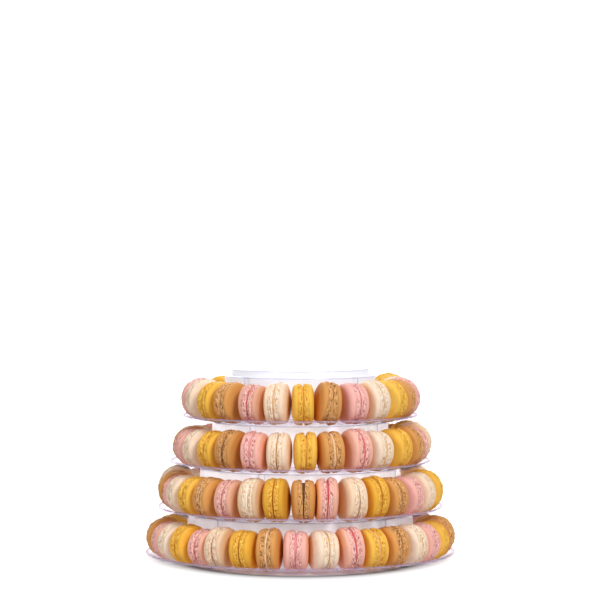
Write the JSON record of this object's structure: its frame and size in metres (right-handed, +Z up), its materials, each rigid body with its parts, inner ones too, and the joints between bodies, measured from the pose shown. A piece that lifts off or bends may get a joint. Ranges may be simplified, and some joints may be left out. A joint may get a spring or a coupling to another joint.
{
  "type": "macaron tower",
  "caption": "Stacked clear round trays, each with a ring of pink, cream, yellow and brown macarons standing on edge round a hollow column.",
  "frame": {"origin": "on the tower's axis, at the surface it stands on", "axes": "+Z up along the tower's axis, -Y towards the picture's camera, +X to its right"},
  "size_m": [0.3285, 0.3302, 0.2009],
  "materials": {
    "clear_tray": "clear thermoformed sheet, glossy, very slightly grey-lilac at its edges",
    "pink_shell": "baked almond shell, smooth satin dome, rose pink",
    "cream_shell": "baked almond shell, smooth satin dome, pale cream",
    "yellow_shell": "baked almond shell, smooth satin dome, golden yellow",
    "brown_shell": "baked almond shell, smooth satin dome, light caramel brown",
    "raspberry_filling": "soft filling, raspberry pink",
    "cream_filling": "soft filling, pale buttercream",
    "caramel_filling": "soft filling, amber caramel",
    "chocolate_filling": "soft filling, dark brown"
  },
  "bodies": {
    "root": {"macarons_1_01": "cream_shell", "macarons_1_02": "yellow_shell", "macarons_1_03": "pink_shell", "macarons_1_04": "brown_shell", "macarons_1_05": "brown_shell", "macarons_1_06": "yellow_shell", "macarons_1_07": "pink_shell", "macarons_1_08": "yellow_shell", "macarons_1_09": "cream_shell", "macarons_1_10": "brown_shell", "macarons_1_11": "cream_shell", "macarons_1_12": "brown_shell", "macarons_1_13": "cream_shell", "macarons_1_14": "pink_shell", "macarons_1_15": "brown_shell", "macarons_2_01": "pink_shell", "macarons_2_02": "yellow_shell", "macarons_2_03": "cream_shell", "macarons_2_04": "brown_shell", "macarons_2_05": "cream_shell", "macarons_2_06": "brown_shell", "macarons_2_07": "yellow_shell", "macarons_2_08": "pink_shell", "macarons_2_09": "yellow_shell", "macarons_2_10": "cream_shell", "macarons_2_11": "brown_shell", "macarons_2_12": "cream_shell", "macarons_2_13": "brown_shell", "macarons_2_14": "yellow_shell", "macarons_3_01": "brown_shell", "macarons_3_02": "cream_shell", "macarons_3_03": "brown_shell", "macarons_3_04": "cream_shell", "macarons_3_05": "pink_shell", "macarons_3_06": "yellow_shell", "macarons_3_07": "pink_shell", "macarons_3_08": "yellow_shell", "macarons_3_09": "pink_shell", "macarons_3_10": "brown_shell", "macarons_3_11": "cream_shell", "macarons_3_12": "brown_shell", "macarons_3_13": "cream_shell", "macarons_4_01": "brown_shell", "macarons_4_02": "cream_shell", "macarons_4_03": "brown_shell", "macarons_4_04": "cream_shell", "macarons_4_05": "brown_shell", "macarons_4_06": "cream_shell", "macarons_4_07": "brown_shell", "macarons_4_08": "yellow_shell", "macarons_4_09": "yellow_shell", "macarons_4_10": "cream_shell", "macarons_4_11": "brown_shell", "macarons_4_12": "cream_shell", "tray_1": "clear_tray", "tray_2": "clear_tray", "tray_3": "clear_tray", "tray_4": "clear_tray"}
  },
  "joints": []
}
